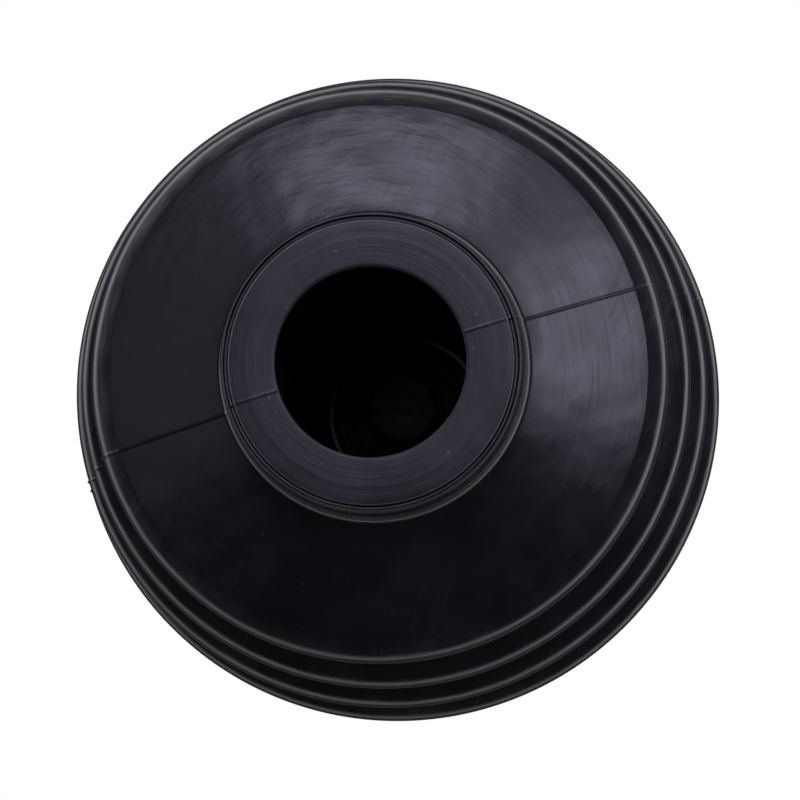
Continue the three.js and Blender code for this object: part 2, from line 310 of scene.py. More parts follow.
# Corners of the section, as radius, z and fillet, anticlockwise from the mouth's bore.
MOUTH_BORE_R = 15.1
MOUTH_FACE = ((MOUTH_BORE_R, 0.0, 0.45), (19.5, 0.0, 6.0), (22.5, 0.15, 0.6))
MOUTH_GROOVE = ((22.85, 0.95, 0.12), (23.2, 0.95, 0.1), (23.55, 0.4, 0.25), (24.0, 1.3, 0.3))
SHOULDER = ((24.7, 8.2, 1.3), (44.2, 12.6, 0.9))
NECK_R = 19.0
ROOF_TOP_Z = 102.0
ROOF_UNDERSIDE_Z = 98.0
PLATE_SEAT_R = 16.7
CROWN_OUTSIDE = ((50.0, 82.0, 16.0), (25.0, 91.0, 8.0), (NECK_R, 94.5, 2.5), (NECK_R, ROOF_TOP_Z, 0.8))
ROOF_HOLE = ((BOLT_HOLE_R, ROOF_TOP_Z, 0.3), (BOLT_HOLE_R, ROOF_UNDERSIDE_Z, 0.3))
CROWN_INSIDE = (
    (PLATE_SEAT_R, ROOF_UNDERSIDE_Z, 1.0), (PLATE_SEAT_R, 92.2, 3.0),
    (24.0, 88.7, 6.0), (48.5, 79.8, 14.0),
)
COLLAR_INSIDE_R = 22.4
MOUTH_THICKNESS = 2.4
THROAT = (
    (43.6, 15.0, 0.8), (24.7, 10.8, 2.0), (COLLAR_INSIDE_R, 8.0, 1.5),
    (COLLAR_INSIDE_R, MOUTH_THICKNESS, 0.8), (MOUTH_BORE_R, MOUTH_THICKNESS, 0.7),
)

RIDGE_HEIGHT = 0.09
RIDGE_HALF_WIDTH = 0.35
NICK_HEIGHT = 0.3        # where the ridge crosses a crest on the -X side
RIDGE_END_Z = 86.0       # the ridge ends on the crown, higher up further in
RIDGE_END_SLOPE = 0.2
RIDGE_END_R = 40.0
DRIFT = 0.4              # how far the upper folds stand off the axis
DRIFT_TURN = math.radians(42)
DRIFT_START_Z, DRIFT_FULL_Z = 40.0, 58.0
DRIFT_FADE_Z, DRIFT_END_Z = 72.0, 92.0
BELLOWS_STEPS = 240


def folded_wall():
    """The corners of the folded wall: its outside going up, and its inside going down."""
    outside, inside = [], []
    for i, (lower, low, upper, high) in enumerate(CRESTS):
        outside += [(lower, low, LOWER_FILLET), (upper, high, UPPER_FILLET)]
        inside += [
            (lower - INNER_CREST_INSET, low + INNER_CREST_GAP, INNER_CREST_FILLET),
            (upper - INNER_CREST_INSET, high - INNER_CREST_GAP, INNER_CREST_FILLET),
        ]
        if i < len(CRESTS) - 1:
            next_lower, next_low = CRESTS[i + 1][:2]
            valley = (lower + next_lower) / 2 - VALLEY_DEPTH
            middle = (high + next_low) / 2
            outside.append((valley, middle, VALLEY_FILLET))
            inside += [
                (valley - WALL, middle - INNER_VALLEY_HALF_HEIGHT, INNER_VALLEY_FILLET),
                (valley - WALL, middle + INNER_VALLEY_HALF_HEIGHT, INNER_VALLEY_FILLET),
            ]
    return outside, inside[::-1]


def bellows_outline():
    """The whole section, anticlockwise. The mouth's face ends in a groove and a thin ring."""
    outside, inside = folded_wall()
    corners = [
        *MOUTH_FACE, *MOUTH_GROOVE, *SHOULDER, *outside, *CROWN_OUTSIDE,
        *ROOF_HOLE, *CROWN_INSIDE, *inside, *THROAT,
    ]
    return refined(rounded(corners), 2.0)


def on_a_crest(points):
    """Which points lie on a crest's outer land."""
    radius, z = points[:, 0], points[:, 1]
    found = np.zeros(len(points), bool)
    for lower, low, _, high in CRESTS:
        found |= (radius > lower - 1.2) & (z > low - 0.5) & (z < high + 0.5)
    return found


def bellows_flash(points, angle):
    """The parting ridge's height, which is more on the crests of the -X side."""
    radius, z = points[:, 0], points[:, 1]
    end = RIDGE_END_Z + RIDGE_END_SLOPE * (RIDGE_END_R - radius).clip(0, RIDGE_END_R)
    height = np.where(z < end, RIDGE_HEIGHT, 0.0)
    if math.cos(angle) < 0:
        height = np.where(on_a_crest(points), NICK_HEIGHT, height)
    return height


def drifted(points, angle):
    """Moves the upper folds a little to one side, as the moulding has set."""
    z = points[:, 1]
    rise = np.clip((z - DRIFT_START_Z) / (DRIFT_FULL_Z - DRIFT_START_Z), 0, 1)
    fall = np.clip((DRIFT_END_Z - z) / (DRIFT_END_Z - DRIFT_FADE_Z), 0, 1)
    points[:, 0] += DRIFT * math.cos(angle - DRIFT_TURN) * (rise * fall)
    return points


def make_bellows():
    """The whole moulding, with the parting ridge on its outside only."""
    outline = bellows_outline()
    top = int(np.argmax(np.array(outline)[:, 1]))
    outside = np.arange(len(outline)) <= top

    def heights(points, angle):
        return bellows_flash(points, angle) * outside
    shape = both(parting_ridge(outline, heights, RIDGE_HALF_WIDTH), drifted)
    return revolve("bellows_skin", outline, ridge_angles(BELLOWS_STEPS), shape)


# ---- Bolt stack -------------------------------------------------------------------------

DISC_STEPS = 96
THREAD_STEPS = 72
HEX_CHAMFER = 0.7
HEAD_HEIGHT = 5.3
WASHER_SLIT = math.radians(8)
WASHER_TWIST = 0.12      # how far each of the spring washer's ends is sprung
WASHER_STEPS = 90
GROOVE_DEPTH = 0.35


def make_disc(name, node, fillet):
    """A plain washer in the place of a CAD node."""
    low, high, radius = extent(node)
    corners = [
        (BOLT_HOLE_R, low, fillet), (radius, low, fillet),
        (radius, high, fillet), (BOLT_HOLE_R, high, fillet),
    ]
    return revolve(name, rounded(corners), even_angles(DISC_STEPS))


def make_backing_plate():
    """A turned plate with a shallow groove round its lower face."""
    low, high, radius = extent("backing_plate")
    groove = [
        (10.6, low, 0.2), (11.0, low + GROOVE_DEPTH, 0.2),
        (12.4, low + GROOVE_DEPTH, 0.2), (12.8, low, 0.2),
    ]
    corners = [
        (BOLT_HOLE_R, low, 0.2), *groove,
        (radius, low, 0.6), (radius, high, 0.6), (BOLT_HOLE_R, high, 0.2),
    ]
    return revolve("backing_plate_turned", rounded(corners), even_angles(DISC_STEPS))


def make_spring_washer():
    """One turn of rectangular wire whose two ends stand apart by a slit."""
    low, high, radius = extent("spring_washer")
    low, high = low + WASHER_TWIST, high - WASHER_TWIST
    section = np.array(rounded([
        (BOLT_HOLE_R, low, 0.15), (radius, low, 0.35),
        (radius, high, 0.35), (BOLT_HOLE_R, high, 0.15),
    ]))
    size = len(section)
    vertices, faces = [], []
    for i in range(WASHER_STEPS + 1):
        share = i / WASHER_STEPS
        angle = WASHER_SLIT / 2 + (2 * math.pi - WASHER_SLIT) * share
        lift = WASHER_TWIST * (2 * share - 1)
        for r, z in section:
            vertices.append((r * math.cos(angle) * MM, r * math.sin(angle) * MM, (z + lift) * MM))
    for i in range(WASHER_STEPS):
        here, there = i * size, (i + 1) * size
        for k in range(size):
            after = (k + 1) % size
            faces.append((here + k, there + k, there + after, here + after))
    faces.append(tuple(range(size)))
    faces.append(tuple(reversed(range(WASHER_STEPS * size, (WASHER_STEPS + 1) * size))))
    return mesh_object("spring_washer_coil", vertices, faces)


def make_bolt():
    """An M8 bolt, head down, with a chamfered hexagon head and a cut thread."""
    low, high, _ = extent("retaining_bolt")
    head_top = low + HEAD_HEIGHT
    corners = [
        (0, low, 0), (6.1, low, 0), (M8_BLANK_R, low + 0.75, 0), (M8_BLANK_R, head_top - 0.3, 0),
        (6.2, head_top - 0.25, 0), (6.1, head_top, 0), (M8_RADIUS, head_top, 0),
        (M8_RADIUS, high - 0.9, 0), (3.2, high, 0), (0, high, 0),
    ]
    outline = refined(rounded(corners, closed=False), 0.22, closed=False)
    thread = threaded(M8_RADIUS, M8_PITCH, 0.6, head_top + 3, high - 0.2)
    shape = both(hexagon(M8_ACROSS_FLATS), thread)
    return revolve("retaining_bolt_cut", outline, even_angles(THREAD_STEPS), shape, closed=False)


def make_nut():
    """An M8 nut with both ends chamfered and a threaded bore."""
    low, high, _ = extent("captive_nut")
    corners = [
        (BOLT_HOLE_R, low + 0.3, 0), (4.7, low, 0), (6.3, low, 0), (M8_BLANK_R, low + HEX_CHAMFER, 0),
        (M8_BLANK_R, high - HEX_CHAMFER, 0), (6.3, high, 0), (4.7, high, 0), (BOLT_HOLE_R, high - 0.3, 0),
    ]
    outline = refined(rounded(corners), 0.3)
    thread = threaded(BOLT_HOLE_R, M8_PITCH, -0.25, low + 0.3, high - 0.3)
    shape = both(hexagon(M8_ACROSS_FLATS), thread)
    return revolve("captive_nut_cut", outline, even_angles(THREAD_STEPS), shape)


# ---- Handle -----------------------------------------------------------------------------

RIBS = 8
RIB_HALF_WIDTH = 1.2
RIB_ROOT = 0.5           # the width of the curve at the foot of a gusset
RIB_HOLLOW = 0.8         # below 1, a gusset's edge is hollow
RIB_LOW_Z, RIB_HIGH_Z = 100.9, 121.3
RIB_LOW_R = 22.9
SLEEVE_R = 16.4
SOCKET_BORE_R = 12.8
FLANGE_R = 24.5
SKIRT_BORE_R = 19.6
WEB_LOW_Z, WEB_HIGH_Z = 102.3, 107.3
BOSS_R = 10.7
BOSS_TOP_Z = 123.3
POCKET_R = 7.8
POCKET_Z = 105.0
SOCKET_STEPS = 144
TUBE_BORE_R = 11.0
ROUND_STEPS = 128
GRIP_RINGS = 8
GRIP_BORE_R, GRIP_R, GUARD_R = 12.8, 17.0, 20.0
GRIP_RING_DEPTH = 1.4
GUARD_HEIGHT = 5.0
GRIP_BARREL_START = 9.0  # above the grip's lower end
CAP_R = 17.6
CAP_BASE_Z = 220.3
CAP_DOME_Z = 228.3
CAP_DOME_STEPS = 20
CAP_GROOVE_DEPTH = 0.5
HANGING_HOLE_R = 4.5
HANGING_HOLE_Z = 232.3
CAP_VOXEL = 0.35


def pin_drill():
    """A rod the size of the hole for the cross pin."""
    return rod("pin_drill", PIN_R + CLEARANCE, DRILL_LENGTH, 0, "X", (0, 0, PIN_Z))


def rib_radius(z):
    """How far out a gusset's edge stands at each height."""
    share = np.clip((z - RIB_LOW_Z) / (RIB_HIGH_Z - RIB_LOW_Z), 0, 1)
    return RIB_LOW_R - (RIB_LOW_R - SLEEVE_R) * share ** RIB_HOLLOW


def socket_shape(points, angle):
    """Raises the gussets between the flange and the sleeve, and presses the nut's pocket."""
    radius, z = points[:, 0], points[:, 1]
    offset = math.remainder(angle - math.pi / RIBS, 2 * math.pi / RIBS)
    aside = radius * abs(math.sin(offset))
    share = np.clip((RIB_HALF_WIDTH + RIB_ROOT - aside) / RIB_ROOT, 0, 1)
    share = share * share * (3 - 2 * share)
    outside = (radius >= SLEEVE_R - 0.01) & (z > RIB_LOW_Z) & (z < RIB_HIGH_Z)
    raised = radius + (np.maximum(rib_radius(z), radius) - radius) * share
    pocket = (abs(radius - POCKET_R) < ON_SURFACE) & (z > POCKET_Z - 1)
    flat = M8_ACROSS_FLATS / 2 + CLEARANCE
    pressed = flat / math.cos(math.remainder(angle, math.pi / 3))
    points[:, 0] = np.where(outside, raised, np.where(pocket, pressed, radius))
    return points


def socket_angles():
    """Even angles, with finer ones across each gusset's two sides."""
    angles = even_angles(SOCKET_STEPS)
    for i in range(RIBS):
        middle = (2 * i + 1) * math.pi / RIBS
        for degrees in np.arange(2.6, 6.6, 0.3):
            angles += [middle - math.radians(degrees), middle + math.radians(degrees)]
    return sorted(angle % (2 * math.pi) for angle in angles)


def make_socket():
    """The moulded socket: a skirt and flange on the crown, a gusseted sleeve and a boss."""
    low, high, _ = extent("handle_socket")
    skirt = [
        (BOLT_HOLE_R, WEB_LOW_Z, 0.2), (SKIRT_BORE_R, WEB_LOW_Z, 0.6), (SKIRT_BORE_R, low, 0.3),
        (FLANGE_R, low, 0.9), (FLANGE_R, 99.3, 0.9),
    ]
    sleeve = [
        (RIB_LOW_R, RIB_LOW_Z, 1.2), (18.0, 106.5, 3.0), (SLEEVE_R, 109.7, 2.5),
        (SLEEVE_R, high, 0.9), (SOCKET_BORE_R, high, 0.5), (SOCKET_BORE_R, WEB_HIGH_Z, 0.5),
    ]
    boss = [
        (BOSS_R, WEB_HIGH_Z, 0.3), (BOSS_R, BOSS_TOP_Z, 0.6), (POCKET_R, BOSS_TOP_Z, 0.15),
        (POCKET_R, POCKET_Z, 0.15), (BOLT_HOLE_R, POCKET_Z, 0.15),
    ]
    outline = refined(rounded(skirt + sleeve + boss), 0.8)
    socket = revolve("handle_socket_moulded", outline, socket_angles(), socket_shape)
    return cut(socket, pin_drill())


def make_tube():
    low, high, radius = extent("shaft_tube")
    corners = [(TUBE_BORE_R, low, 0.4), (radius, low, 0.5), (radius, high, 0.5), (TUBE_BORE_R, high, 0.4)]
    tube = revolve("shaft_tube_drawn", refined(rounded(corners), 4), even_angles(ROUND_STEPS))
    return cut(tube, pin_drill())


def make_pin():
    low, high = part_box("socket_pin")
    return rod("socket_pin_turned", PIN_R, (high.x - low.x) / MM, 0.35, "X", (0, 0, PIN_Z))


def grip_corners(low, high):
    """The grip's section: a guard, then rings with softly rounded edges."""
    barrel = low + GRIP_BARREL_START
    pitch = (high - 2 - barrel) / GRIP_RINGS
    groove = GRIP_R - GRIP_RING_DEPTH
    corners = [
        (GRIP_BORE_R, low, 0.4), (GUARD_R, low, 1.8), (GUARD_R, low + GUARD_HEIGHT, 1.8),
        (groove, barrel + 0.15 * pitch, 2.5),
    ]
    for i in range(GRIP_RINGS):
        z = barrel + i * pitch
        if i:
            corners.append((groove, z + 0.15 * pitch, 0.5))
        corners += [
            (GRIP_R, z + 0.35 * pitch, 1.0), (GRIP_R, z + 0.8 * pitch, 1.0),
            (groove, z + pitch, 0.5),
        ]
    return corners + [(GRIP_R, high - 1.2, 0.5), (GRIP_R, high, 0.5), (GRIP_BORE_R, high, 0.4)]


def make_grip():
    low, high, _ = extent("hand_grip")
    outline = refined(rounded(grip_corners(low, high)), 2.0)

    def heights(points, angle):
        return np.where(points[:, 0] > GRIP_BORE_R + 1, 0.12, 0.0)
    ridge = parting_ridge(outline, heights, 0.3)
    return revolve("hand_grip_moulded", outline, ridge_angles(ROUND_STEPS), ridge)


def make_cap():
    """The domed cap, with its cross hole for hanging, and a spigot in the tube."""
    low, high, _ = extent("end_cap")
    groove_r = CAP_R - CAP_GROOVE_DEPTH
    corners = [
        (0, low, 0), (BOSS_R, low, 1.0), (BOSS_R, CAP_BASE_Z, 0.4), (CAP_R, CAP_BASE_Z, 0.9),
        (CAP_R, CAP_BASE_Z + 2.6, 0.3), (groove_r, CAP_BASE_Z + 3.0, 0.2),
        (groove_r, CAP_BASE_Z + 3.6, 0.2), (CAP_R, CAP_BASE_Z + 4.0, 0.3), (CAP_R, CAP_DOME_Z, 0),
    ]
    outline = rounded(corners, closed=False)
    for k in range(1, CAP_DOME_STEPS + 1):
        turn = math.pi / 2 * k / CAP_DOME_STEPS
        rise = (high - CAP_DOME_Z) * math.sin(turn)
        outline.append(np.array([CAP_R * math.cos(turn), CAP_DOME_Z + rise]))
    outline[-1][0] = 0.0
    cap = revolve("end_cap_moulded", outline, even_angles(ROUND_STEPS), closed=False)
    drill = rod("hang_drill", HANGING_HOLE_R, DRILL_LENGTH, 0, "Y", (0, 0, HANGING_HOLE_Z), 64)
    return softened(cut(cap, drill), CAP_VOXEL, 6)


# ---- Materials --------------------------------------------------------------------------

class Graph:
    """Builds a shader. Each method but put adds the nodes for one step and gives its result."""

    def __init__(self, tree, coordinates="Object"):
        self.nodes, self.links = tree.nodes, tree.links
        self.place = self.nodes.new("ShaderNodeTexCoord").outputs[coordinates]

    def put(self, socket, value):
        if isinstance(value, bpy.types.NodeSocket):
            self.links.new(value, socket)
        else:
            socket.default_value = value

    def math(self, operation, a, b=0.0):
        node = self.nodes.new("ShaderNodeMath")
        node.operation = operation
        self.put(node.inputs[0], a)
        self.put(node.inputs[1], b)
        return node.outputs[0]

    def vector(self, operation, a, b):
        node = self.nodes.new("ShaderNodeVectorMath")
        node.operation = operation
        self.put(node.inputs[0], a)
        self.put(node.inputs[1], b)
        return node.outputs["Value" if operation in ("DOT_PRODUCT", "LENGTH") else "Vector"]

    def split(self, vector):
        node = self.nodes.new("ShaderNodeSeparateXYZ")
        self.put(node.inputs[0], vector)
        return node.outputs

    def join(self, x, y, z):
        node = self.nodes.new("ShaderNodeCombineXYZ")
        for socket, value in zip(node.inputs, (x, y, z)):
            self.put(socket, value)
        return node.outputs[0]

    def ease(self, value, start, end, low=0.0, high=1.0):
        """Goes smoothly from low at start to high at end."""
        node = self.nodes.new("ShaderNodeMapRange")
        node.interpolation_type = "SMOOTHSTEP"
        names = ("Value", "From Min", "From Max", "To Min", "To Max")
        for name, given in zip(names, (value, start, end, low, high)):
            self.put(node.inputs[name], given)
        return node.outputs["Result"]

    def noise(self, size, detail, stretch=(1, 1, 1), where=None):
        """Noise with features of about that size in metres, drawn out along an axis by stretch."""
        node = self.nodes.new("ShaderNodeTexNoise")
        scaled = self.vector("MULTIPLY", where or self.place, tuple(1 / (size * s) for s in stretch))
        # The shift keeps flat faces off the planes where the noise fades out.
        self.put(node.inputs["Vector"], self.vector("ADD", scaled, (0.37, 0.41, 0.43)))
        node.inputs["Scale"].default_value = 1.0
        node.inputs["Detail"].default_value = detail
        node.inputs["Roughness"].default_value = 0.55
        return node.outputs["Fac"]

    def specks(self, spacing, radius):
        """1 at scattered specks and 0 between them."""
        node = self.nodes.new("ShaderNodeTexVoronoi")
        self.put(node.inputs["Vector"], self.vector("MULTIPLY", self.place, (1 / spacing,) * 3))
        node.inputs["Scale"].default_value = 1.0
        return self.ease(node.outputs["Distance"], radius / spacing, 0.5 * radius / spacing)

    def mix(self, share, first, second):
        node = self.nodes.new("ShaderNodeMix")
        node.data_type = "RGBA"
        self.put(node.inputs["Factor"], share)
        self.put(node.inputs["A"], first)
        self.put(node.inputs["B"], second)
        return node.outputs["Result"]

    def bump(self, height, distance, before=None):
        node = self.nodes.new("ShaderNodeBump")
        node.inputs["Distance"].default_value = distance
        self.put(node.inputs["Height"], height)
        if before:
            self.put(node.inputs["Normal"], before)
        return node.outputs[0]


def new_material(name, metallic=0.0):
    """An empty surface, as its material, graph and shader."""
    material = bpy.data.materials.new(name)
    material.use_nodes = True
    shader = material.node_tree.nodes["Principled BSDF"]
    shader.inputs["Metallic"].default_value = metallic
    return material, Graph(material.node_tree), shader


def rgba(color, factor=1.0):
    return (*(channel * factor for channel in color), 1.0)


DUST_COLOR = (0.16, 0.155, 0.15)
SCUFF_COLOR = (0.12, 0.12, 0.13)


def moulded(name, color, roughness, grain, relief, dust=0.0):
    """A moulded rubber or plastic: mottled, with a fine grain, scuffs and a little dust."""
    material, graph, shader = new_material(name)
    mottle = graph.ease(graph.noise(0.012, 4), 0.3, 0.7)
    shade = graph.mix(mottle, rgba(color, 0.8), rgba(color, 1.25))
    scuffs = graph.ease(graph.noise(0.0015, 2, (1, 9, 1)), 0.6, 0.72)
    scuffs = graph.math("MULTIPLY", scuffs, graph.ease(graph.noise(0.02, 2), 0.45, 0.65))
    settled = graph.math("MULTIPLY", graph.ease(graph.noise(0.004, 5), 0.5, 0.8), dust)
    shade = graph.mix(settled, shade, rgba(DUST_COLOR))
    shade = graph.mix(graph.math("MULTIPLY", scuffs, 0.12), shade, rgba(SCUFF_COLOR))
    graph.put(shader.inputs["Base Color"], shade)
    uneven = graph.ease(graph.noise(0.006, 4), 0.3, 0.7, roughness - 0.06, roughness + 0.08)
    rougher = graph.math("ADD", uneven, graph.math("MULTIPLY", scuffs, 0.15))
    graph.put(shader.inputs["Roughness"], rougher)
    graph.put(shader.inputs["Normal"], graph.bump(graph.noise(grain, 2), relief))
    return material


def plated(name, color, roughness, metallic=1.0):
    """A plated or blackened steel: clouded colour, fine scratches, small handling marks."""
    material, graph, shader = new_material(name, metallic)
    cloud = graph.ease(graph.noise(0.004, 4), 0.35, 0.65)
    graph.put(shader.inputs["Base Color"], graph.mix(cloud, rgba(color, 0.82), rgba(color, 1.1)))
    uneven = graph.ease(graph.noise(0.002, 4), 0.3, 0.7, roughness - 0.07, roughness + 0.1)
    graph.put(shader.inputs["Roughness"], uneven)
    scratches = graph.ease(graph.noise(0.0006, 2, (1, 14, 1)), 0.58, 0.7)
    skin = graph.bump(scratches, 0.00002)
    graph.put(shader.inputs["Normal"], graph.bump(graph.noise(0.0012, 3), 0.00002, skin))
    return material


def brushed(name, color, roughness):
    """Drawn aluminium with fine lines along Z."""
    material, graph, shader = new_material(name, metallic=1.0)
    lines = graph.noise(0.0003, 2, (1, 1, 60))
    graph.put(shader.inputs["Base Color"], graph.mix(lines, rgba(color, 0.85), rgba(color, 1.08)))
    uneven = graph.ease(lines, 0.3, 0.7, roughness - 0.05, roughness + 0.1)
    graph.put(shader.inputs["Roughness"], uneven)
    graph.put(shader.inputs["Normal"], graph.bump(lines, 0.00001))
    return material


RUBBER_COLOR = (0.0066, 0.0066, 0.0078)
BLOOM_COLOR = (0.021, 0.021, 0.030)
SPECK_COLOR = (0.16, 0.16, 0.16)
# Where the look of the mouth's face has faded out, and where it is full.
FACE_HEIGHTS = (0.0009, 0.0004)
FACE_RADII = (0.0238, 0.0230)


class BellowsSkin:
    """What the looks of the bellows share: the mouth's face, turning marks and streaks."""

    def __init__(self, graph):
        x, y, z = graph.split(graph.place)
        self.x, self.z = x, z
        self.radius = graph.vector("LENGTH", graph.join(x, y, 0.0), (0, 0, 0))
        low = graph.ease(z, *FACE_HEIGHTS)
        within = graph.ease(self.radius, *FACE_RADII)
        self.on_face = graph.math("MULTIPLY", low, within)
        self.turned = graph.noise(0.0005, 3, where=graph.join(self.radius, 0.0, z))
        diagonal = graph.join(graph.math("ADD", x, y), graph.math("SUBTRACT", x, y), z)
        drawn = graph.vector("MULTIPLY", diagonal, (1.0, 0.07, 0.3))
        self.streaks = graph.noise(0.0009, 3, where=drawn)
        self.rubbed = graph.ease(graph.noise(0.014, 3), 0.45, 0.6)


def bellows_color(graph, skin):
    """Mottled black, with a bluish bloom on the face and pale specks, most of them there."""
    mottle = graph.ease(graph.noise(0.011, 5), 0.3, 0.7)
    shade = graph.mix(mottle, rgba(RUBBER_COLOR, 0.75), rgba(RUBBER_COLOR, 1.3))
    bloom = graph.math("MULTIPLY", skin.on_face, graph.ease(skin.turned, 0.35, 0.7, 0.35, 1.0))
    patches = graph.ease(graph.noise(0.007, 4), 0.42, 0.62, 0.25, 1.0)
    shade = graph.mix(graph.math("MULTIPLY", bloom, patches), shade, rgba(BLOOM_COLOR))
    clusters = graph.ease(graph.noise(0.006, 3), 0.5, 0.62)
    specks = graph.math("MULTIPLY", graph.specks(0.0028, 0.00028), clusters)
    showing = graph.math("ADD", graph.math("MULTIPLY", skin.on_face, 0.6), 0.15)
    return graph.mix(graph.math("MULTIPLY", specks, showing), shade, rgba(SPECK_COLOR))


def bellows_gloss(graph, skin):
    """The roughness: glossy, but duller in the rubbed streaks and on the face."""
    gloss = graph.ease(graph.noise(0.008, 2), 0.3, 0.7, 0.21, 0.27)
    worn = graph.math("MULTIPLY", skin.rubbed, 0.06)
    worn = graph.math("MULTIPLY", graph.ease(skin.streaks, 0.5, 0.7), worn)
    gloss = graph.math("ADD", gloss, worn)
    return graph.math("ADD", gloss, graph.math("MULTIPLY", skin.on_face, 0.12))


def bellows_relief(graph, skin):
    """Waves of the moulding, rings round the axis, grain, turning marks and rubbed streaks."""
    along_rings = graph.join(skin.radius, graph.math("MULTIPLY", skin.x, 0.3), skin.z)
    layers = (
        # height, distance in metres
        (graph.noise(0.014, 2), 0.0003),
        (graph.noise(0.004, 3, where=along_rings), 0.0001),
        (graph.noise(0.0004, 3), 0.000006),
        (graph.math("MULTIPLY", skin.turned, skin.on_face), 0.00007),
        (graph.math("MULTIPLY", skin.streaks, skin.rubbed), 0.000005),
    )
    normal = None
    for height, distance in layers:
        normal = graph.bump(height, distance, normal)
    return normal


def bellows_rubber():
    """Glossy black rubber with a bluish bloom on the mouth's face, streaks and specks."""
    material, graph, shader = new_material("bellows_rubber")
    shader.inputs["IOR"].default_value = 1.5
    skin = BellowsSkin(graph)
    graph.put(shader.inputs["Base Color"], bellows_color(graph, skin))
    graph.put(shader.inputs["Roughness"], bellows_gloss(graph, skin))
    graph.put(shader.inputs["Normal"], bellows_relief(graph, skin))
    return material


RUBBER = bellows_rubber()
SEAL = moulded("seal_rubber", (0.02, 0.02, 0.02), 0.7, 0.0005, 0.00003)
NYLON = moulded("black_nylon", (0.02, 0.02, 0.023), 0.42, 0.0005, 0.00003, dust=0.15)
GRIP = moulded("grip_rubber", (0.022, 0.022, 0.025), 0.62, 0.0007, 0.00005, dust=0.25)
ZINC = plated("zinc_steel", (0.55, 0.56, 0.59), 0.3)
BLACKENED = plated("black_steel", (0.02, 0.02, 0.022), 0.55, 0.4)
ALUMINIUM = brushed("aluminium_tube", (0.42, 0.425, 0.44), 0.36)


# ---- Pieces -----------------------------------------------------------------------------

def stand_for(piece, node, material):
    """Gives a piece its material and puts it in the place of a CAD node."""
    piece.data.materials.clear()
    piece.data.materials.append(material)
    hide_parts(node)
    return piece


bellows = stand_for(make_bellows(), "bellows", RUBBER)
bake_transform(bellows)

HANDLE_PIECES = [
    (make_backing_plate(), "backing_plate", BLACKENED, "black_steel"),
    (make_disc("sealing_washer_moulded", "sealing_washer", 0.7), "sealing_washer", SEAL, "seal_rubber"),
    (make_disc("flat_washer_stamped", "flat_washer", 0.3), "flat_washer", BLACKENED, "black_steel"),
    (make_spring_washer(), "spring_washer", BLACKENED, "black_steel"),
    (make_bolt(), "retaining_bolt", BLACKENED, "black_steel"),
    (make_socket(), "handle_socket", NYLON, "black_nylon"),
    (make_nut(), "captive_nut", ZINC, "zinc_steel"),
    (make_tube(), "shaft_tube", ALUMINIUM, "aluminium_tube"),
    (make_pin(), "socket_pin", ZINC, "zinc_steel"),
    (make_grip(), "hand_grip", GRIP, "grip_rubber"),
    (make_cap(), "end_cap", NYLON, "black_nylon"),
]
for piece, node, material, slot in HANDLE_PIECES:
    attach(stand_for(piece, node, material), "handle")


# ---- Camera -----------------------------------------------------------------------------

LENS_MM, SENSOR_MM = 90, 36
NEAREST_SEEN = 0.01
LINE_RISE = 17.2         # how far the parting line rises to the right in the view, in degrees
LEAN = 6.45              # between the view direction and +Z, in degrees
LEAN_TURN = -56.4        # where the far end of the axis goes in the view, in degrees
MOUTH_IN_VIEW = (-0.0047, 0.0061, -0.3143)  # right, up and towards the camera


def camera_from_below():
    """Looks at the mouth from 0.31 m below, a few degrees off the tool's axis.

    The view is turned so that the parting line along X rises to the right.
    """
    lean, lean_turn = math.radians(LEAN), math.radians(LEAN_TURN)
    line_rise = math.radians(LINE_RISE)
    axis = Vector((
        math.sin(lean) * math.cos(lean_turn),
        math.sin(lean) * math.sin(lean_turn),
        -math.cos(lean),
    ))
    line = Vector((math.cos(line_rise), math.sin(line_rise), 0.0))
    line = (line - axis * line.dot(axis)).normalized()
    across = axis.cross(line)
    # The rows of the world's axes as the camera sees them: right, up and towards it.
    turn = Matrix((line, across, axis)).to_3x3()
    data = bpy.data.cameras.new("camera")
    data.lens = LENS_MM
    data.sensor_width = SENSOR_MM
    data.clip_start = NEAREST_SEEN
    camera = bpy.data.objects.new("camera", data)
    camera.matrix_world = turn.to_4x4() @ Matrix.Translation(-Vector(MOUTH_IN_VIEW))
    bpy.context.scene.collection.objects.link(camera)
    bpy.context.scene.camera = camera


camera_from_below()


# ---- Light ------------------------------------------------------------------------------

def world_turn(azimuth):
    """The world angle about +Z of an azimuth in the picture, anticlockwise from the right."""
    return math.radians(LINE_RISE - azimuth)


def sector(graph, azimuth, half_turn, nearest, farthest, soft, strength):
    """A softbox far below the tool: part of a ring round -Z, between two angles off it."""
    turn = world_turn(azimuth)
    x, y, z = graph.split(graph.place)
    flat = graph.join(x, y, 0.0)
    across = graph.vector("DOT_PRODUCT", flat, (math.cos(turn), math.sin(turn), 0))
    off_axis = graph.math("MAXIMUM", graph.vector("LENGTH", flat, (0, 0, 0)), 1e-4)
    facing = graph.math("DIVIDE", across, off_axis)
    depth = graph.math("MULTIPLY", z, -1.0)

    def edge(value, outer, inner):
        return graph.ease(value, math.cos(math.radians(outer)), math.cos(math.radians(inner)))
    turn_soft = min(3 * soft, half_turn)
    light = edge(facing, half_turn + turn_soft / 2, half_turn - turn_soft / 2)
    light = graph.math("MULTIPLY", light, edge(depth, farthest + soft, farthest - soft))
    if nearest > 0:
        light = graph.math("MULTIPLY", light, edge(depth, nearest - soft, nearest + soft))
    return graph.math("MULTIPLY", light, strength)


